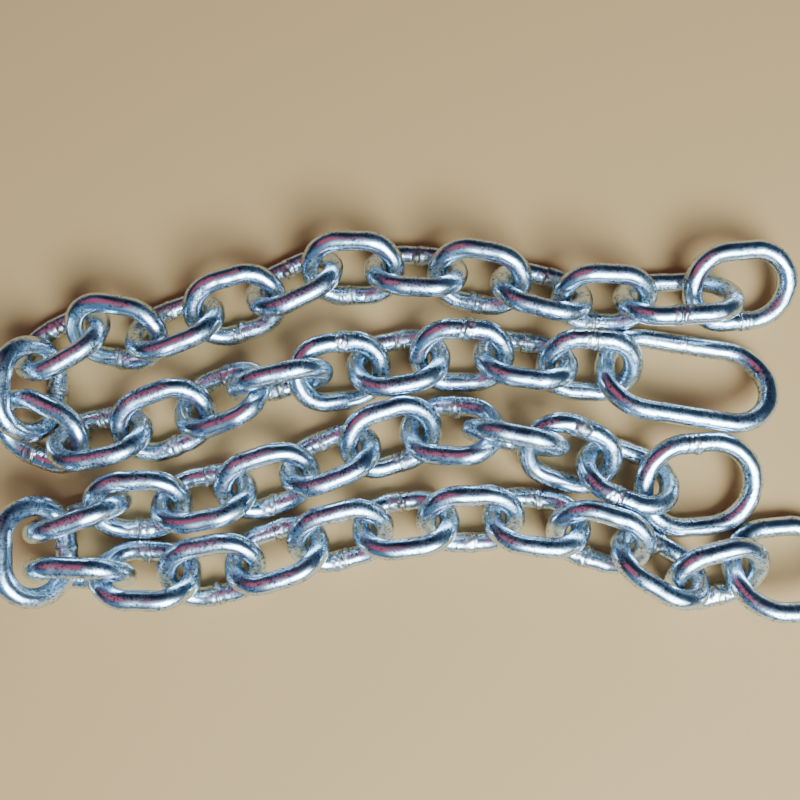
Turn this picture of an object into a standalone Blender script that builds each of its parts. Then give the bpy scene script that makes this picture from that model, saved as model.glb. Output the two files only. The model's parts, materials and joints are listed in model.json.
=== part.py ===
"""A heap of welded steel chain: two lengths of round-bar chain, each doubled back on itself.

Every link is one closed ring of round bar. The links are laid one after another, the way a person
lays a chain out on a floor: each link is turned to its own heading, leaned over to one side, let
down until it touches the floor, and then drawn along until its crown bears on the link before it.
"""

import math
from collections import namedtuple

import bpy
import numpy as np

# Driving dimensions, in metres
BAR_DIAMETER = 0.008
LINK_INNER_LENGTH = 0.027
LINK_INNER_WIDTH = 0.0175
JOINING_LINK_INNER_LENGTH = 0.0365
JOINING_LINK_INNER_WIDTH = 0.0185
OVAL_RING_INNER_LENGTH = 0.0315
OVAL_RING_INNER_WIDTH = 0.0215
LONG_RING_INNER_LENGTH = 0.059
LONG_RING_INNER_WIDTH = 0.026
WIDE_RING_INNER_LENGTH = 0.036
WIDE_RING_INNER_WIDTH = 0.027

# Room left between two bars that bear on each other, so that no two solids share a face
CLEARANCE = 0.0003

# Faceting: steps round each end of a link, and flats round the bar (twice the resolution plus four)
END_STEPS = 6
BAR_RESOLUTION = 2
BAR_FLATS = 2 * BAR_RESOLUTION + 4

# Search steps used when a link is drawn up to its neighbour
COARSE_STEP = 0.0005
FINE_HALVINGS = 12
SAMPLES_PER_SIDE = 5

BAR_COLOUR = (0.62, 0.64, 0.67, 1.0)
BAR_ROUGHNESS = 0.28

Shape = namedtuple("Shape", "inner_length inner_width")
LINK = Shape(LINK_INNER_LENGTH, LINK_INNER_WIDTH)
JOINING_LINK = Shape(JOINING_LINK_INNER_LENGTH, JOINING_LINK_INNER_WIDTH)
OVAL_RING = Shape(OVAL_RING_INNER_LENGTH, OVAL_RING_INNER_WIDTH)
LONG_RING = Shape(LONG_RING_INNER_LENGTH, LONG_RING_INNER_WIDTH)
WIDE_RING = Shape(WIDE_RING_INNER_LENGTH, WIDE_RING_INNER_WIDTH)

# How far the joining link is let back from the oval ring, which lies slack in it
JOINING_SLACK = 0.004

# How one link lies. Heading is the way the chain runs through it, in degrees from +X. Lean lifts
# the side on the left of that heading, and rise lifts the leading end, both in degrees. Where the
# chain turns back, pull is the direction in which the link is drawn tight, and the two hooks are the
# places along the axes of the link before it and of this link that are drawn apart, as shares of
# the eye's straight half. Lift is the height of the lowest bar above the floor. Slack is how far the
# link is let back once it has been drawn tight, and aside is the direction in which it then slides
# until it bears again.
Laid = namedtuple("Laid", "name shape heading lean rise pull hook_before hook_here lift slack aside",
                  defaults=(0, None, 1.0, -1.0, 0.0, 0.0, None))


# Chain A from its oval ring, out to the left and back to its long ring
CHAIN_A = [
    Laid("chain_a_oval_ring", OVAL_RING, 184, -26),
    Laid("chain_a_joining_link", JOINING_LINK, 182, 46, slack=JOINING_SLACK, aside=270),
    Laid("chain_a_link_01", LINK, 177, -54),
    Laid("chain_a_link_02", LINK, 165, 44),
    Laid("chain_a_link_03", LINK, 169, -48),
    Laid("chain_a_link_04", LINK, 176, 44),
    Laid("chain_a_link_05", LINK, 179, -46),
    Laid("chain_a_link_06", LINK, 206, 44),
    Laid("chain_a_link_07", LINK, 196, -42),
    Laid("chain_a_link_08", LINK, 201, 42),
    Laid("chain_a_link_09", LINK, 170, -42),
    Laid("chain_a_link_10", LINK, 210, 40),
    Laid("chain_a_turn_link", LINK, 266, -56, pull=235, hook_before=0.0, hook_here=-0.75),
    Laid("chain_a_link_11", LINK, -24, 36, pull=-90, hook_before=0.5),
    Laid("chain_a_link_12", LINK, 10, -45),
    Laid("chain_a_link_13", LINK, 20, 36),
    Laid("chain_a_link_14", LINK, 18, -36, rise=12),
    Laid("chain_a_link_15", LINK, 12, 86),
    Laid("chain_a_link_16", LINK, 8, 33, rise=-13),
    Laid("chain_a_link_17", LINK, 10, -35),
    Laid("chain_a_link_18", LINK, -1, 43),
    Laid("chain_a_link_19", LINK, -8, -45),
    Laid("chain_a_link_20", LINK, -4, 44),
    Laid("chain_a_long_ring", LONG_RING, -10, -22),
]

# Chain B from one wide ring, out to the left and back to the other one
CHAIN_B = [
    Laid("chain_b_wide_ring_1", WIDE_RING, 184, -20),
    Laid("chain_b_link_01", LINK, 159, 36),
    Laid("chain_b_link_02", LINK, 160, -35, rise=12),
    Laid("chain_b_link_03", LINK, 168, -90),
    Laid("chain_b_link_04", LINK, 174, 32, rise=-14),
    Laid("chain_b_link_05", LINK, 197, -37, rise=5),
    Laid("chain_b_link_06", LINK, 201, 46),
    Laid("chain_b_link_07", LINK, 197, -44),
    Laid("chain_b_link_08", LINK, 190, 44),
    Laid("chain_b_link_09", LINK, 182, -44, rise=7),
    Laid("chain_b_link_10", LINK, 198, 77),
    Laid("chain_b_turn_link", LINK, 274, -47, pull=220, hook_here=-0.75, lift=BAR_DIAMETER + CLEARANCE),
    Laid("chain_b_link_11", LINK, -2, 77, pull=-20),
    Laid("chain_b_link_12", LINK, -3, -45, rise=-6),
    Laid("chain_b_link_13", LINK, 9, 39),
    Laid("chain_b_link_14", LINK, 17, -42),
    Laid("chain_b_link_15", LINK, 13, 44),
    Laid("chain_b_link_16", LINK, 6, -44),
    Laid("chain_b_link_17", LINK, 1, 44),
    Laid("chain_b_link_18", LINK, -7, -42),
    Laid("chain_b_link_19", LINK, -18, 46),
    Laid("chain_b_link_20", LINK, -31, -47),
    Laid("chain_b_link_21", LINK, 14, 45),
    Laid("chain_b_wide_ring_2", WIDE_RING, 5, -24),
]

# Where the first ring of chain B lies from the first ring of chain A, before it is pushed up
CHAIN_B_START = (-0.022, -0.150)


def clear_scene():
    for item in list(bpy.data.objects):
        bpy.data.objects.remove(item, do_unlink=True)


def new_collection(name):
    group = bpy.data.collections.new(name)
    bpy.context.scene.collection.children.link(group)
    return group


def zinc_plated_steel():
    """Bright zinc on mild steel, a hard light grey metal with a soft gloss."""
    material = bpy.data.materials.new("zinc_plated_steel")
    material.use_nodes = True
    shader = material.node_tree.nodes["Principled BSDF"]
    shader.inputs["Base Color"].default_value = BAR_COLOUR
    shader.inputs["Metallic"].default_value = 1.0
    shader.inputs["Roughness"].default_value = BAR_ROUGHNESS
    return material


def half_straight(shape):
    """Distance from a link's middle to the centre of either rounded end."""
    return (shape.inner_length - shape.inner_width) / 2


def centre_line(shape):
    """Corner points of a link's centre line, in XY with the long axis along X."""
    end_radius = (shape.inner_width + BAR_DIAMETER) / 2
    turn = np.linspace(-math.pi / 2, math.pi / 2, END_STEPS + 1)
    front = np.column_stack((half_straight(shape) + end_radius * np.cos(turn), end_radius * np.sin(turn), 0 * turn))
    return np.vstack((front, -front))


def sampled(corners):
    """Points along every side of a closed line of corners."""
    share = np.arange(SAMPLES_PER_SIDE)[:, None, None] / SAMPLES_PER_SIDE
    along = corners + share * (np.roll(corners, -1, axis=0) - corners)
    return along.reshape(-1, 3)


def flat_down_tilt(lean):
    """Turn of the bar's flats about its own axis that lays one flat of the lower bar on the floor.

    The bar meets each rounded end at half of one end step, which squeezes its section a little
    across the link, so the flat is chosen on the squeezed section.
    """
    squeeze = math.cos(math.pi / END_STEPS / 4)
    down = math.radians(abs(lean)) - math.pi / 2
    flat = math.atan2(math.sin(down), squeeze * math.cos(down))
    return math.pi / BAR_FLATS - flat


def ring_object(laid, material, group):
    """One welded link as a closed round bar, modelled flat in XY about the origin."""
    curve = bpy.data.curves.new(laid.name, "CURVE")
    curve.dimensions = "3D"
    curve.twist_mode = "Z_UP"
    curve.bevel_depth = BAR_DIAMETER / 2
    curve.bevel_resolution = BAR_RESOLUTION
    corners = centre_line(laid.shape)
    spline = curve.splines.new("POLY")
    spline.points.add(len(corners) - 1)
    tilt = flat_down_tilt(laid.lean)
    for point, corner in zip(spline.points, corners):
        point.co = (*corner, 1.0)
        point.tilt = tilt
    spline.use_cyclic_u = True
    spline.use_smooth = True
    curve.materials.append(material)
    ring = bpy.data.objects.new(laid.name, curve)
    group.objects.link(ring)
    return ring


def surface_points(ring):
    """Corners of a ring's evaluated mesh, in its own frame."""
    bpy.context.view_layer.update()
    evaluated = ring.evaluated_get(bpy.context.evaluated_depsgraph_get())
    mesh = evaluated.to_mesh()
    points = np.array([vertex.co for vertex in mesh.vertices])
    evaluated.to_mesh_clear()
    return points


def turned(laid):
    """Rotation that leans a link, lifts its leading end and turns it to its heading."""
    heading = math.radians(laid.heading)
    lean = math.radians(laid.lean)
    rise = math.radians(laid.rise)
    about_x = np.array([[1, 0, 0], [0, math.cos(lean), -math.sin(lean)], [0, math.sin(lean), math.cos(lean)]])
    about_y = np.array([[math.cos(rise), 0, -math.sin(rise)], [0, 1, 0], [math.sin(rise), 0, math.cos(rise)]])
    about_z = np.array([[math.cos(heading), -math.sin(heading), 0], [math.sin(heading), math.cos(heading), 0],
                        [0, 0, 1]])
    return about_z @ about_y @ about_x


def nearest(points, others):
    """Smallest distance between two sets of points."""
    offsets = points[:, None] - others[None]
    return math.sqrt((offsets * offsets).sum(axis=2).min())


class Link:
    """A link on the floor, with its centre line where it lies."""

    def __init__(self, laid, material, group):
        self.laid = laid
        self.ring = ring_object(laid, material, group)
        self.rotation = turned(laid)
        self.line = sampled(centre_line(laid.shape)) @ self.rotation.T
        self.skin = surface_points(self.ring) @ self.rotation.T
        self.centre = np.array([0.0, 0.0, laid.lift - self.skin[:, 2].min()])

    def bars(self):
        return self.line + self.centre

    def surface(self):
        return self.skin + self.centre

    def reach(self):
        return self.laid.shape.inner_length / 2 + BAR_DIAMETER

    def on_axis(self, share):
        """Offset from the link's middle to a place on its long axis."""
        return self.rotation @ np.array([share * half_straight(self.laid.shape), 0.0, 0.0])

    def draw_up(self, before, eased=0.0):
        """Pull this link away from the one before it until their crowns bear on each other.

        Eased is how far over to the right of its heading the link is laid first.
        """
        heading = math.radians(self.laid.heading)
        right = np.array([math.sin(heading), -math.cos(heading), 0.0])
        swing = (self.laid.heading - before.laid.heading + 180) % 360 - 180
        pull = self.laid.pull
        if pull is None:
            pull = before.laid.heading + swing / 2
        way = np.array([math.cos(math.radians(pull)), math.sin(math.radians(pull)), 0.0])
        start = before.centre + before.on_axis(self.laid.hook_before) - self.on_axis(self.laid.hook_here)
        start = start + eased * right
        start[2] = self.centre[2]
        held = before.bars()

        def gap(reach):
            return nearest(self.line + start + reach * way, held) - BAR_DIAMETER - CLEARANCE

        free = self.laid.shape.inner_width + BAR_DIAMETER
        while gap(free) < 0 and free > 0:
            free -= COARSE_STEP
        tight = free + COARSE_STEP
        for _ in range(FINE_HALVINGS):
            middle = (free + tight) / 2
            if gap(middle) < 0:
                tight = middle
            else:
                free = middle
        self.centre = start + (free - self.laid.slack) * way

    def shift(self, offset):
        self.centre = self.centre + offset

    def place(self, parent):
        self.ring.location = self.centre
        self.ring.rotation_euler = (math.radians(self.laid.lean), -math.radians(self.laid.rise),
                                    math.radians(self.laid.heading))
        self.ring.parent = parent


def room(links, others, offset):
    """Smallest room between the bars of two groups of links, with the first one shifted."""
    gaps = []
    for link in links:
        for other in others:
            reach = link.reach() + other.reach()
            if np.linalg.norm(link.centre + offset - other.centre) < reach:
                gaps.append(nearest(link.bars() + offset, other.bars()) - BAR_DIAMETER - CLEARANCE)
    return min(gaps, default=BAR_DIAMETER)


def push(links, others, direction):
    """Slide links over the floor until they bear on others."""
    way = np.array([math.cos(math.radians(direction)), math.sin(math.radians(direction)), 0.0])
    slid = 0.0
    step = COARSE_STEP
    while room(links, others, (slid + step) * way) > 0:
        slid += step
    for _ in range(FINE_HALVINGS):
        step /= 2
        if room(links, others, (slid + step) * way) > 0:
            slid += step
    for link in links:
        link.shift(slid * way)


def ease_clear(link, links):
    """Ease a link over to its right until it clears the row that was laid before it."""
    eased = 0.0
    while room([link], links[:-1], 0.0) < 0 and eased < link.laid.shape.inner_width:
        eased += COARSE_STEP
        link.draw_up(links[-1], eased)


def lay_chain(rows, material, group):
    """Lay the links of one chain one after another."""
    links = []
    for laid in rows:
        link = Link(laid, material, group)
        if links:
            link.draw_up(links[-1])
            ease_clear(link, links)
        if laid.aside is not None:
            push([link], links[-1:], laid.aside)
        links.append(link)
    return links


def centre_heap(links):
    """Bring the middle of the heap's outline over the origin."""
    points = np.vstack([link.surface() for link in links])
    middle = (points.min(axis=0) + points.max(axis=0)) / 2
    for link in links:
        link.shift(np.array([-middle[0], -middle[1], 0.0]))


def build():
    clear_scene()
    group = new_collection("heap_of_steel_chain")
    material = zinc_plated_steel()
    heap = bpy.data.objects.new("heap", None)
    group.objects.link(heap)
    chain_a = lay_chain(CHAIN_A, material, group)
    chain_b = lay_chain(CHAIN_B, material, group)
    for link in chain_b:
        link.shift(np.array([*CHAIN_B_START, 0.0]))
    push(chain_b, chain_a, 90)
    centre_heap(chain_a + chain_b)
    for link in chain_a + chain_b:
        link.place(heap)


build()
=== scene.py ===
"""A heap of zinc-plated welded steel chain: 48 links in two lengths, each doubled back on itself."""

import json
import math

import bpy
import numpy as np
from mathutils import Matrix, Vector

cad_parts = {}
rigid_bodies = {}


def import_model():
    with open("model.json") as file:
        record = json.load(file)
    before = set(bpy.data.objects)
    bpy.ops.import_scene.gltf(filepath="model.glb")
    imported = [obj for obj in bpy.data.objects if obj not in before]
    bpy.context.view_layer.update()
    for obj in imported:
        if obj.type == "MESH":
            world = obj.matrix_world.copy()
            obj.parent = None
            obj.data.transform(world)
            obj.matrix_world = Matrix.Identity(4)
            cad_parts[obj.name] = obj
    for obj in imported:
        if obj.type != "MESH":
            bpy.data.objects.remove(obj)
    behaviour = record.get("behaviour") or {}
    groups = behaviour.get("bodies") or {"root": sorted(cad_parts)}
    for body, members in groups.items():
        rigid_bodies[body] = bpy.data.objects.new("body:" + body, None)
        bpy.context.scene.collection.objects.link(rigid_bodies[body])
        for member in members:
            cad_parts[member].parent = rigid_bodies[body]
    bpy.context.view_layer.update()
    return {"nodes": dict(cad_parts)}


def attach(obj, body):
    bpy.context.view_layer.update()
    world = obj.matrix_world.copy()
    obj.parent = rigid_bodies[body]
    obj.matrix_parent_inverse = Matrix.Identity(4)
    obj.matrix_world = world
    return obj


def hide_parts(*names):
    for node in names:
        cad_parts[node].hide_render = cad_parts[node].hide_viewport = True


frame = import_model()


# Ordinary links. Each is a length of 8 mm round mild steel bar, bent hot round a former, butt-welded
# in the middle of one long side and then zinc-plated. The weld is squeezed up while it is soft, so
# the bar is a little thicker there, with the marks of the clamps on both sides and a bead inside.
BAR_DIAMETER = 0.008
BAR_RADIUS = BAR_DIAMETER / 2
LINK_EYE = (0.027, 0.0175)
FIRST_LINK_SEED = 100

# Rings of points along the bar, drawn together near the weld, where the detail is finer
STATION_SPACING = 0.00056
CLOSER_AT_WELD = 0.74
ROUND_SIDES = 32
POINTS_PER_CORNER = 96

ORDINARY_LINKS = sorted(name for name in frame["nodes"] if "_link_" in name or "turn_link" in name)
WELD_ON_HIGH_SIDE = {
    "chain_a_link_16", "chain_a_link_18", "chain_a_link_20", "chain_b_link_01", "chain_b_link_02",
}
# One bead stands on its link's upper face, and a few welds are lumpier than the rest
ROUGHER_WELDS = {
    "chain_b_link_02": {"bead": 0.0012, "bead_reach": 0.0036, "bead_turn": 1.95},
    "chain_a_link_16": {"swell": 0.00034, "lumps": 0.00016},
    "chain_a_link_18": {"swell": 0.0004, "lumps": 0.00018},
    "chain_b_link_01": {"swell": 0.0003, "lumps": 0.00014},
}


def linear(colour):
    """An sRGB hex colour as linear RGBA."""
    shares = [int(colour[place:place + 2], 16) / 255 for place in (1, 3, 5)]
    red, green, blue = (
        share / 12.92 if share <= 0.04045 else ((share + 0.055) / 1.055) ** 2.4 for share in shares
    )
    return (red, green, blue, 1.0)


def add(tree, kind, inputs=None, **settings):
    """Add a node with its settings, and feed its inputs with values or with other nodes' outputs."""
    node = tree.nodes.new(kind)
    for name, value in settings.items():
        setattr(node, name, value)
    for socket, value in (inputs or {}).items():
        if isinstance(value, bpy.types.NodeSocket):
            tree.links.new(value, node.inputs[socket])
        else:
            node.inputs[socket].default_value = value
    return node


def bright_zinc_plate():
    """Electroplated zinc, blue-white and bright, on hot-bent bar.

    It mirrors its surroundings softly, and pits less than 1 mm across roughen it all over. In patches
    some 7 mm across the bar kept its mill scale, in grains of about 1 mm, and the zinc there is bluer,
    darker and less glossy. The welds were left rough, so they are duller and a little yellow, and the
    crack at each seam, 0.3 mm wide, is dark with oxide.
    """
    material = bpy.data.materials.new("bright_zinc_plate")
    material.use_nodes = True
    tree = material.node_tree
    tree.nodes.clear()
    place = add(tree, "ShaderNodeTexCoord").outputs["Object"]
    weld = add(tree, "ShaderNodeAttribute", attribute_name="weld").outputs["Fac"]
    seam = add(tree, "ShaderNodeAttribute", attribute_name="seam").outputs["Fac"]

    # A scale of 140 makes patches of 1/140 m, about 7 mm. The grains come out at 1 mm and the pits
    # at 0.8 mm in the same way.
    patches = add(tree, "ShaderNodeTexNoise", {
        "Vector": place, "Scale": 140.0, "Detail": 3.0, "Roughness": 0.6,
    }).outputs["Fac"]
    grains = add(tree, "ShaderNodeTexNoise", {
        "Vector": place, "Scale": 950.0, "Detail": 3.0, "Roughness": 0.62,
    }).outputs["Fac"]
    pits = add(tree, "ShaderNodeTexVoronoi", {
        "Vector": place, "Scale": 1300.0, "Randomness": 1.0,
    }).outputs["Distance"]

    between_grains = add(tree, "ShaderNodeMapRange", {
        "Value": grains, "From Min": 0.36, "From Max": 0.6, "To Min": 0.0, "To Max": 1.0,
    })
    off_the_patches = add(tree, "ShaderNodeMapRange", {
        "Value": patches, "From Min": 0.49, "From Max": 0.62, "To Min": 0.0, "To Max": 0.9,
    })
    clean = add(tree, "ShaderNodeMath", {
        0: between_grains.outputs["Result"], 1: off_the_patches.outputs["Result"],
    }, operation="MAXIMUM")
    zinc_tone = add(tree, "ShaderNodeValToRGB", {"Fac": clean.outputs["Value"]})
    on_scale, on_clean_steel = zinc_tone.color_ramp.elements
    on_scale.color = linear("#4f7699")
    on_clean_steel.color = linear("#d7ecfa")
    on_clean_steel.position = 0.6
    dulled = add(tree, "ShaderNodeMix", {
        "Factor": weld, "A": zinc_tone.outputs["Color"], "B": linear("#c0bdb2"),
    }, data_type="RGBA")
    cracked = add(tree, "ShaderNodeMix", {
        "Factor": seam, "A": dulled.outputs["Result"], "B": linear("#3b3a3c"),
    }, data_type="RGBA")

    plate_roughness = add(tree, "ShaderNodeMapRange", {
        "Value": patches, "From Min": 0.35, "From Max": 0.7, "To Min": 0.31, "To Max": 0.18,
    })
    rougher_at_weld = 0.14
    roughness = add(tree, "ShaderNodeMath", {
        0: weld, 1: rougher_at_weld, 2: plate_roughness.outputs["Result"],
    }, operation="MULTIPLY_ADD")

    pitted = add(tree, "ShaderNodeMapRange", {
        "Value": pits, "From Min": 0.08, "From Max": 0.4, "To Min": 0.0, "To Max": 1.0,
    })
    pits_to_grains = 0.3
    relief = add(tree, "ShaderNodeMath", {
        0: pitted.outputs["Result"], 1: pits_to_grains, 2: grains,
    }, operation="MULTIPLY_ADD")
    bump = add(tree, "ShaderNodeBump", {
        "Height": relief.outputs["Value"], "Strength": 0.32, "Distance": 0.00012,
    })
    shader = add(tree, "ShaderNodeBsdfPrincipled", {
        "Base Color": cracked.outputs["Result"],
        "Metallic": 1.0,
        "Roughness": roughness.outputs["Value"],
        "Normal": bump.outputs["Normal"],
    })
    add(tree, "ShaderNodeOutputMaterial", {"Surface": shader.outputs["BSDF"]})
    return material


def link_tree(material):
    """Geometry Nodes for one link: round bar swept along a closed path, finely spaced at the weld.

    The link lies flat in XY with its long axis along X, and the weld is in the middle of its +Y side.
    Every corner of the bar keeps the point of the path that it belongs to, and its distance from the
    weld along the path.
    """
    tree = bpy.data.node_groups.new("welded_link", "GeometryNodeTree")
    for name in ("Eye Length", "Eye Width", "Bar Diameter", "Closer At Weld"):
        tree.interface.new_socket(name, in_out="INPUT", socket_type="NodeSocketFloat")
    for name in ("Stations", "Round Sides"):
        tree.interface.new_socket(name, in_out="INPUT", socket_type="NodeSocketInt")
    tree.interface.new_socket("Bar", in_out="OUTPUT", socket_type="NodeSocketGeometry")
    sizes = tree.nodes.new("NodeGroupInput").outputs

    # The middle line of the bar: a box whose corners are rounded until its short sides are gone
    length = add(tree, "ShaderNodeMath", {
        0: sizes["Eye Length"], 1: sizes["Bar Diameter"],
    }, operation="ADD")
    width = add(tree, "ShaderNodeMath", {
        0: sizes["Eye Width"], 1: sizes["Bar Diameter"],
    }, operation="ADD")
    end_radius = add(tree, "ShaderNodeMath", {0: width.outputs[0], 1: 2.0}, operation="DIVIDE")
    box = add(tree, "GeometryNodeCurvePrimitiveQuadrilateral", {
        "Width": length.outputs[0], "Height": width.outputs[0],
    })
    path = add(tree, "GeometryNodeFilletCurve", {
        "Curve": box.outputs["Curve"], "Count": POINTS_PER_CORNER, "Radius": end_radius.outputs[0],
    }, mode="POLY")
    circuit = add(tree, "GeometryNodeCurveLength", {"Curve": path.outputs["Curve"]}).outputs["Length"]

    # How far each ring of points is from the weld, once round the link. A sine taken from even steps
    # draws them together at the weld. The path starts at one end of the link, so the middle of its
    # +Y side is a quarter of the way round.
    number = add(tree, "GeometryNodeInputIndex").outputs[0]
    share = add(tree, "ShaderNodeMath", {0: number, 1: sizes["Stations"]}, operation="DIVIDE")
    turn = add(tree, "ShaderNodeMath", {0: share.outputs[0], 1: math.tau}, operation="MULTIPLY")
    swing = add(tree, "ShaderNodeMath", {0: turn.outputs[0]}, operation="SINE")
    eased = add(tree, "ShaderNodeMath", {
        0: swing.outputs[0], 1: sizes["Closer At Weld"],
    }, operation="MULTIPLY")
    spaced = add(tree, "ShaderNodeMath", {
        0: eased.outputs[0], 1: -1 / math.tau, 2: share.outputs[0],
    }, operation="MULTIPLY_ADD")
    from_weld = add(tree, "ShaderNodeMath", {0: spaced.outputs[0], 1: circuit}, operation="MULTIPLY")
    from_start = add(tree, "ShaderNodeMath", {
        0: circuit, 1: 0.25, 2: from_weld.outputs[0],
    }, operation="MULTIPLY_ADD")
    reach = add(tree, "ShaderNodeMath", {
        0: from_start.outputs[0], 1: circuit, 2: 0.0,
    }, operation="WRAP")
    point = add(tree, "GeometryNodeSampleCurve", {
        "Curves": path.outputs["Curve"], "Length": reach.outputs[0],
    }, mode="LENGTH", use_all_curves=True)

    # A ring with one point for each of those places is drawn onto the path, and the bar follows it
    ring = add(tree, "GeometryNodeCurvePrimitiveCircle", {"Resolution": sizes["Stations"]})
    laid = add(tree, "GeometryNodeSetPosition", {
        "Geometry": ring.outputs["Curve"], "Position": point.outputs["Position"],
    })
    middle = add(tree, "GeometryNodeStoreNamedAttribute", {
        "Geometry": laid.outputs["Geometry"],
        "Name": "middle",
        "Value": add(tree, "GeometryNodeInputPosition").outputs[0],
    }, data_type="FLOAT_VECTOR", domain="POINT")
    along = add(tree, "GeometryNodeStoreNamedAttribute", {
        "Geometry": middle.outputs["Geometry"], "Name": "from_weld", "Value": from_weld.outputs[0],
    }, domain="POINT")
    bar_radius = add(tree, "ShaderNodeMath", {0: sizes["Bar Diameter"], 1: 2.0}, operation="DIVIDE")
    section = add(tree, "GeometryNodeCurvePrimitiveCircle", {
        "Resolution": sizes["Round Sides"], "Radius": bar_radius.outputs[0],
    })
    bar = add(tree, "GeometryNodeCurveToMesh", {
        "Curve": along.outputs["Geometry"], "Profile Curve": section.outputs["Curve"],
    })
    smooth = add(tree, "GeometryNodeSetShadeSmooth", {"Geometry": bar.outputs["Mesh"]})
    real = add(tree, "GeometryNodeRealizeInstances", {"Geometry": smooth.outputs["Geometry"]})
    plated = add(tree, "GeometryNodeSetMaterial", {
        "Geometry": real.outputs["Geometry"], "Material": material,
    })
    add(tree, "NodeGroupOutput", {"Bar": plated.outputs["Geometry"]})
    return tree


def made_from_tree(name, tree, sizes):
    """Evaluate a tree once with these sizes, and give the result as an object with a plain mesh."""
    carrier = bpy.data.objects.new(name + "_carrier", bpy.data.meshes.new(name))
    bpy.context.scene.collection.objects.link(carrier)
    modifier = carrier.modifiers.new("welded_link", "NODES")
    modifier.node_group = tree
    for item in tree.interface.items_tree:
        if item.in_out == "INPUT":
            modifier[item.identifier] = sizes[item.name]
    bpy.context.view_layer.update()
    evaluated = carrier.evaluated_get(bpy.context.evaluated_depsgraph_get())
    mesh = bpy.data.meshes.new_from_object(evaluated)
    bpy.data.objects.remove(carrier)
    piece = bpy.data.objects.new(name, mesh)
    bpy.context.scene.collection.objects.link(piece)
    return piece


def corner_rows(mesh, what):
    """The places ("co") or the normals ("normal") of a mesh's corners, one row for each."""
    values = np.zeros(len(mesh.vertices) * 3)
    mesh.vertices.foreach_get(what, values)
    return values.reshape(-1, 3)


def hump(distance, spread):
    """A smooth hump of height 1 round distance 0."""
    return np.exp(-(distance / spread) ** 2)


def step(distance, spread):
    """A smooth step from 0 to 1 at distance 0."""
    return 0.5 + 0.5 * np.tanh(distance / spread)


def uneven(points, draw, shortest, longest):
    """Gentle unevenness of about 1 up and down, with waves between these two lengths."""
    wave_count = 16
    usual_sum = 3
    height = np.zeros(len(points))
    for _ in range(wave_count):
        wave = draw.normal(0, 1, 3)
        wave *= math.tau / draw.uniform(shortest, longest) / np.linalg.norm(wave)
        height += np.sin(points @ wave + draw.uniform(0, math.tau))
    return height / usual_sum


# How deep the dents of bending are, how deep the hammering of the scale, and how long their waves
DENT_DEPTH = 0.00005
DENT_LENGTHS = (0.0045, 0.013)
HAMMER_DEPTH = 0.00001
HAMMER_LENGTHS = (0.0022, 0.004)


def wander(piece, draw):
    """Shallow dents and swellings that a hot-bent bar has all over, about 0.05 mm deep."""
    mesh = piece.data
    corners = corner_rows(mesh, "co")
    normals = corner_rows(mesh, "normal")
    lift = DENT_DEPTH * uneven(corners, draw, *DENT_LENGTHS)
    lift = lift + HAMMER_DEPTH * uneven(corners, draw, *HAMMER_LENGTHS)
    corners += lift[:, None] * normals
    mesh.vertices.foreach_set("co", corners.ravel())
    mesh.update()


# The seam, in metres: how far it may be from the middle of the side, how it strays from a straight
# cut round the bar in one wave and in three, and the crack in it
SEAM_OFF_MIDDLE = 0.0015
SEAM_SWAY = 0.0005
SEAM_WAVER = 0.0002
CRACK_SPREAD = 0.00018
CRACK_DEPTH = 0.0002
# The steel squeezed out beside it: how far it reaches and laps over the seam, how softly it begins
# and ends, and its lumps
SQUEEZED_REACH = (0.0035, 0.006)
SQUEEZED_OVERLAP = 0.0002
SQUEEZED_START = 0.0003
SQUEEZED_END = 0.0009
LUMP_LENGTHS = (0.0012, 0.0032)
LUMPS_MIDDLE = 0.001
LUMPS_SPREAD = 0.0035
# The two clamp marks: how far off they are, how wide, how askew, and the least share of their depth
CLAMP_PLACES = (0.0022, 0.0085)
CLAMP_SPREADS = (0.0003, 0.0007)
CLAMP_SKEW = 0.0012
SHALLOWEST_CLAMP = 0.36
# The bead: how far it may be from the seam and turned from the inside of the link, in radians, and
# how narrow and how high it is beside what was asked for
BEAD_OFF_SEAM = 0.001
BEAD_TURNS = (-0.7, 0.7)
BEAD_WIDTHS = (0.7, 1.1)
BEAD_HEIGHTS = (0.5, 1.1)
BEAD_FULLNESS = 0.7
# The share of a weld's height that is missing where the bar faces straight down
FLATTENED_BELOW = 0.95
# The dull skin of the weld reaches a little past the squeezed-out steel, with softer edges, and it
# is dullest on the bead and along the seam
SQUEEZED_DULLNESS = 0.55
BEAD_DULLNESS = 0.9
SEAM_DARKNESS = 0.9
DULL_OVERLAP = 0.0003
DULL_START = 0.0005
DULL_END = 0.0012
DULL_AT_SEAM = 0.0003
# Nearly a full turn, in radians
ANY_TURN = 6.0


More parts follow.
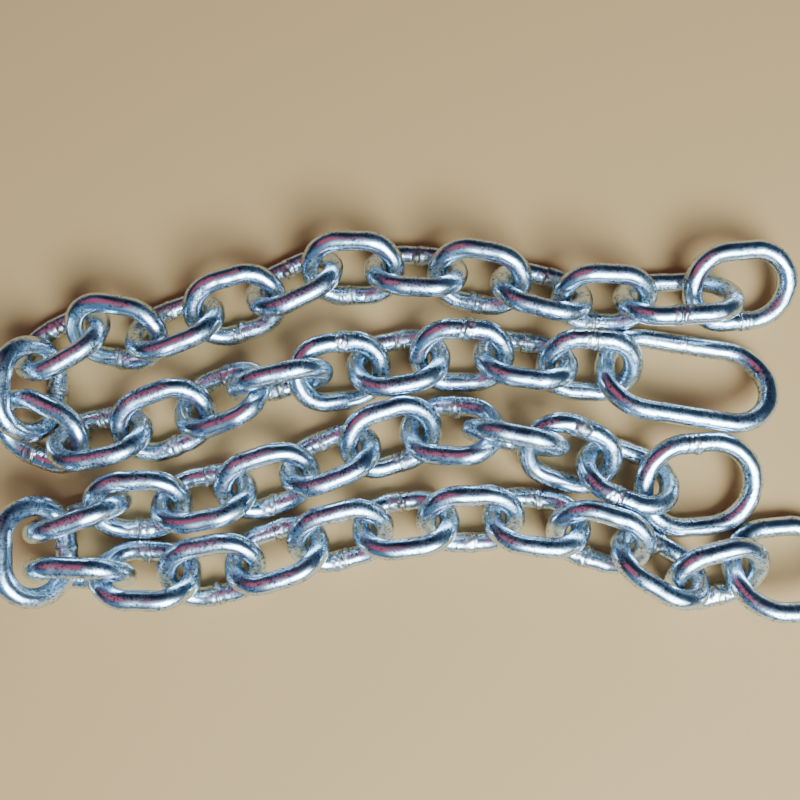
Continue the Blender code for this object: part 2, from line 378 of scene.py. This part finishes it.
def finish_weld(piece, draw, down, swell=0.00022, lumps=0.00008, marks=0.0002, bead=0.0011,
                bead_reach=0.0018, bead_turn=None):
    """Shape the bar's surface about its weld, and mark how far the weld reaches.

    The bar ends meet at a seam that shows as a fine crack. The steel that was squeezed out lies on one
    side of it, lumpy, with a round bead on the inside of the link and marks of the clamps beyond.
    Where the bar faces down hardly any of it stands out, because the link lies on that side.
    """
    mesh = piece.data
    corners = corner_rows(mesh, "co")
    middle = np.zeros(len(mesh.vertices) * 3)
    mesh.attributes["middle"].data.foreach_get("vector", middle)
    along = np.zeros(len(mesh.vertices))
    mesh.attributes["from_weld"].data.foreach_get("value", along)

    # The distances run once round the link, so the last half is counted back from the weld
    circuit = along.max() - along.min()
    along = np.where(along > circuit / 2, along - circuit - along[along > 0].min(), along)
    out = (corners - middle.reshape(-1, 3)) / BAR_RADIUS
    around = np.arctan2(out[:, 2], -out[:, 1])

    seam = draw.uniform(-SEAM_OFF_MIDDLE, SEAM_OFF_MIDDLE)
    side = draw.choice((-1, 1))
    sway = SEAM_SWAY * np.sin(around + draw.uniform(0, ANY_TURN))
    sway = sway + SEAM_WAVER * np.sin(3 * around + draw.uniform(0, ANY_TURN))
    away = side * (along - seam - sway)
    lumpy = uneven(corners, draw, *LUMP_LENGTHS)
    reach = draw.uniform(*SQUEEZED_REACH)
    lift = swell * step(away + SQUEEZED_OVERLAP, SQUEEZED_START)
    lift = lift * step(reach - away, SQUEEZED_END) * (0.8 + 0.2 * lumpy)
    lift += lumps * lumpy * hump(away - LUMPS_MIDDLE, LUMPS_SPREAD)
    crack = hump(away, CRACK_SPREAD) * np.clip(0.75 + 0.4 * lumpy, 0, 1)
    lift -= CRACK_DEPTH * crack
    for mark in draw.uniform(*CLAMP_PLACES, 2) * draw.choice((-1, 1), 2):
        facing = np.clip(np.cos(around - draw.uniform(0, math.tau)), 0, 1) ** 3
        skew = CLAMP_SKEW * np.sin(around + draw.uniform(0, ANY_TURN))
        depth = draw.uniform(SHALLOWEST_CLAMP, 1.0) * marks
        lift -= depth * facing * hump(along - mark - skew, draw.uniform(*CLAMP_SPREADS))

    if bead_turn is None:
        bead_turn = draw.uniform(*BEAD_TURNS)
    off_round = np.angle(np.exp(1j * (around - bead_turn))) * BAR_DIAMETER / 2
    off_along = along - seam + draw.uniform(-BEAD_OFF_SEAM, BEAD_OFF_SEAM)
    from_bead = np.hypot(off_along, off_round * draw.uniform(*BEAD_WIDTHS))
    dome = np.clip(1 - (from_bead / bead_reach) ** 2, 0, 1) ** BEAD_FULLNESS
    lift += bead * draw.uniform(*BEAD_HEIGHTS) * dome
    flattened = FLATTENED_BELOW * np.clip(out @ down, 0, 1)
    lift = np.where(lift > 0, lift * (1 - flattened), lift)
    corners += lift[:, None] * out
    mesh.vertices.foreach_set("co", corners.ravel())

    dull = SQUEEZED_DULLNESS * step(away + DULL_OVERLAP, DULL_START)
    dull = dull * step(reach - away, DULL_END) * (0.6 + 0.5 * lumpy)
    bead_dull = BEAD_DULLNESS * hump(from_bead, 0.9 * bead_reach) * (bead > 0)
    dull += hump(away, DULL_AT_SEAM) + bead_dull
    weld_attribute = mesh.attributes.new("weld", "FLOAT", "POINT")
    weld_attribute.data.foreach_set("value", np.clip(dull, 0, 1))
    seam_attribute = mesh.attributes.new("seam", "FLOAT", "POINT")
    seam_attribute.data.foreach_set("value", SEAM_DARKNESS * crack)
    mesh.update()


def lie_of(node, weld_is_high):
    """Where a link lies: its middle, its long axis as X and the way to its welded side as Y."""
    mesh = frame["nodes"][node].data
    corners = np.array([vertex.co for vertex in mesh.vertices])
    mesh.calc_loop_triangles()
    faces = corners[np.array([triangle.vertices for triangle in mesh.loop_triangles])]
    slants = np.cross(faces[:, 1] - faces[:, 0], faces[:, 2] - faces[:, 0])
    areas = np.linalg.norm(slants, axis=1)
    middle = np.average(faces.mean(axis=1), axis=0, weights=areas)

    # The skin spreads most along the link, less across it and least through its thickness
    faces = faces - middle
    sums = faces.sum(axis=1)
    spread = np.einsum("n,nij,nik->jk", areas, faces, faces)
    spread = spread + np.einsum("n,nj,nk->jk", areas, sums, sums)
    axes = np.linalg.eigh(spread)[1]
    long_axis = axes[:, 2] * (1 if axes[0, 2] > 0 else -1)
    across = axes[:, 1] * (1 if (axes[2, 1] > 0) == weld_is_high else -1)
    upright = np.cross(long_axis, across)
    place = Matrix.Identity(4)
    for row in range(3):
        place[row][0] = long_axis[row]
        place[row][1] = across[row]
        place[row][2] = upright[row]
        place[row][3] = middle[row]
    return place


def lay_link(node, eye, seed, weld_is_high=False, **weld):
    """Make one finished link where its node lies, in place of the node."""
    draw = np.random.default_rng(seed)
    eye_length, eye_width = eye
    circuit = 2 * (eye_length - eye_width) + math.pi * (eye_width + BAR_DIAMETER)
    piece = made_from_tree(node + "_bar", welded_link, {
        "Eye Length": eye_length,
        "Eye Width": eye_width,
        "Bar Diameter": BAR_DIAMETER,
        "Closer At Weld": CLOSER_AT_WELD,
        "Stations": round(circuit / STATION_SPACING),
        "Round Sides": ROUND_SIDES,
    })
    place = lie_of(node, weld_is_high)
    up_in_the_link = np.array(place[2][:3])
    wander(piece, draw)
    finish_weld(piece, draw, -up_in_the_link, **weld)
    piece.data.transform(place)
    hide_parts(node)
    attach(piece, "root")


welded_link = link_tree(bright_zinc_plate())
for number, node in enumerate(ORDINARY_LINKS):
    rougher = ROUGHER_WELDS.get(node, {})
    lay_link(node, LINK_EYE, FIRST_LINK_SEED + number, node in WELD_ON_HIGH_SIDE, **rougher)


# The joining link. A longer link of the same bar, bent and welded like the others, that couples the
# oval ring to the chain. Its weld is on its high side and swells more than an ordinary link's.
JOINING_EYE = (0.0365, 0.0185)
SWOLLEN_WELD = {"swell": 0.0004, "lumps": 0.00012}
lay_link("chain_a_joining_link", JOINING_EYE, seed=7, weld_is_high=True, **SWOLLEN_WELD)


# The end rings, one at each end of each chain, bent and welded from the same bar and plated with it:
# an oval ring and a long ring on one chain, and two wide rings on the other. The welds of the wide
# rings stand out less than an ordinary link's, and the long ring's is nearly flush.
OVAL_RING_EYE = (0.0315, 0.0215)
LONG_RING_EYE = (0.059, 0.026)
WIDE_RING_EYE = (0.036, 0.027)
FLAT_WELD = {"swell": 0.00006, "lumps": 0.00004, "marks": 0.00008, "bead": 0.0}
LOW_WELD = {"swell": 0.00012, "lumps": 0.00008, "marks": 0.00006}
lay_link("chain_a_oval_ring", OVAL_RING_EYE, seed=11)
lay_link("chain_a_long_ring", LONG_RING_EYE, seed=12, **FLAT_WELD)
lay_link("chain_b_wide_ring_1", WIDE_RING_EYE, seed=13, weld_is_high=True, **LOW_WELD)
lay_link("chain_b_wide_ring_2", WIDE_RING_EYE, seed=14, weld_is_high=True, **LOW_WELD)


# The floor. A plain board with pale matt paint, level with the lowest point of the bars, so that the
# links lie on it.
FLOOR_SIDE = 4.0
bars = [item.data for item in bpy.data.objects if item.name.endswith("_bar")]
floor_height = min(vertex.co.z for bar in bars for vertex in bar.vertices)
bpy.ops.mesh.primitive_plane_add(size=FLOOR_SIDE, location=(0, 0, floor_height))
floor = bpy.context.object
floor.name = "floor"
matt_paint = bpy.data.materials.new("pale_matt_paint")
matt_paint.use_nodes = True
paint_shader = matt_paint.node_tree.nodes["Principled BSDF"]
paint_shader.inputs["Base Color"].default_value = linear("#b8925f")
paint_shader.inputs["Roughness"].default_value = 0.85
floor.data.materials.append(matt_paint)


# Light. A large soft lamp and, lower down, a wide window, both in front and to the right, in a dim
# blue room. The streaks on the bars are all reflections: a dark wall on the left, a dark beam beyond
# the top, a pale ceiling in front, blue sky in front on the left, and a red curtain high on the left.
def way_to(azimuth, elevation):
    """The way to a place in the room, in degrees round from the right and up from the floor."""
    turn = math.radians(azimuth)
    rise = math.radians(elevation)
    return Vector((
        math.cos(turn) * math.cos(rise), math.sin(turn) * math.cos(rise), math.sin(rise),
    ))


def soft_light(name, azimuth, elevation, distance, width, height, power, colour):
    """A rectangular soft light that looks at the heap from one side."""
    light = bpy.data.lights.new(name, "AREA")
    light.shape = "RECTANGLE"
    light.size = width
    light.size_y = height
    light.energy = power
    light.color = linear(colour)[:3]
    holder = bpy.data.objects.new(name, light)
    way = way_to(azimuth, elevation)
    holder.location = distance * way
    holder.rotation_euler = way.to_track_quat("Z", "Y").to_euler()
    bpy.context.scene.collection.objects.link(holder)


soft_light("window", azimuth=-52, elevation=32, distance=1.3,
           width=1.0, height=0.4, power=5.5, colour="#e6f5ff")
soft_light("ceiling_lamp", azimuth=-62, elevation=48, distance=1.15,
           width=0.7, height=0.62, power=41.0, colour="#d6eeff")

# The room's colour by the height of the way to it, 0 at the floor's edge and 1 straight overhead
ROOM_BY_HEIGHT = {0.0: "#98a3ad", 0.1: "#53687c", 0.2: "#203a52", 0.42: "#25364c"}
# Each patch lies over the ones before it: its name, the azimuth and elevation of its middle, how far
# it is whole and how far it reaches, all in degrees, its colour and how brightly it shines
PATCHES = [
    ("dark_wall", 172, 24, 12, 32, "#0c1420", 0.5),
    ("dark_beam", 92, 48, 8, 30, "#060d1c", 0.5),
    ("pale_ceiling", -68, 58, 18, 46, "#bcd6ea", 0.95),
    ("blue_sky", -132, 26, 2, 34, "#5f93bd", 0.7),
    ("rosy_wall", 160, 62, 6, 40, "#8a6a8c", 0.6),
    ("red_curtain", 166, 61, 0, 31, "#cf5a74", 0.95),
]
world = bpy.data.worlds.new("room")
world.use_nodes = True
bpy.context.scene.world = world
room = world.node_tree
room.nodes.clear()
way_out = add(room, "ShaderNodeTexCoord").outputs["Generated"]
height = add(room, "ShaderNodeSeparateXYZ", {"Vector": way_out}).outputs["Z"]
shade = add(room, "ShaderNodeValToRGB", {"Fac": height})
tones = shade.color_ramp.elements
tones.remove(tones[1])
for rise, colour in ROOM_BY_HEIGHT.items():
    tone = tones[0] if rise == 0.0 else tones.new(rise)
    tone.color = linear(colour)
seen = shade.outputs["Color"]
for name, azimuth, elevation, whole, edge, colour, brightness in PATCHES:
    near = add(room, "ShaderNodeVectorMath", {
        0: way_out, 1: way_to(azimuth, elevation),
    }, operation="DOT_PRODUCT")
    share = add(room, "ShaderNodeMapRange", {
        "Value": near.outputs["Value"],
        "From Min": math.cos(math.radians(edge)),
        "From Max": math.cos(math.radians(whole)),
    }, interpolation_type="SMOOTHSTEP")
    patch_colour = [brightness * part for part in linear(colour)[:3]] + [1.0]
    seen = add(room, "ShaderNodeMix", {
        "Factor": share.outputs["Result"], "A": seen, "B": patch_colour,
    }, data_type="RGBA", label=name).outputs["Result"]
background = add(room, "ShaderNodeBackground", {"Color": seen, "Strength": 1.0})
add(room, "ShaderNodeOutputWorld", {"Surface": background.outputs["Background"]})


# The camera, 8 degrees to the near side of straight above the heap and turned by less than a
# degree. Its lens is set from the focal length in pixels of a picture 800 pixels wide.
CAMERA_TARGET = Vector((-0.0066, 0.0125, 0.0))
CAMERA_DISTANCE = 0.3594
CAMERA_PITCH = math.radians(8.0)
CAMERA_ROLL = math.radians(-0.82)
FOCAL_PIXELS = 862
PICTURE_PIXELS = 800
SENSOR_WIDTH = 36.0
camera_data = bpy.data.cameras.new("camera")
camera_data.sensor_width = SENSOR_WIDTH
camera_data.lens = SENSOR_WIDTH * FOCAL_PIXELS / PICTURE_PIXELS
camera_data.clip_start = 0.01
camera = bpy.data.objects.new("camera", camera_data)
way_back = Vector((0, -math.sin(CAMERA_PITCH), math.cos(CAMERA_PITCH)))
camera.location = CAMERA_TARGET + CAMERA_DISTANCE * way_back
leaned = Matrix.Rotation(CAMERA_PITCH, 3, "X")
rolled = Matrix.Rotation(CAMERA_ROLL, 3, "Z")
camera.rotation_euler = (leaned @ rolled).to_euler()
bpy.context.scene.collection.objects.link(camera)
bpy.context.scene.camera = camera
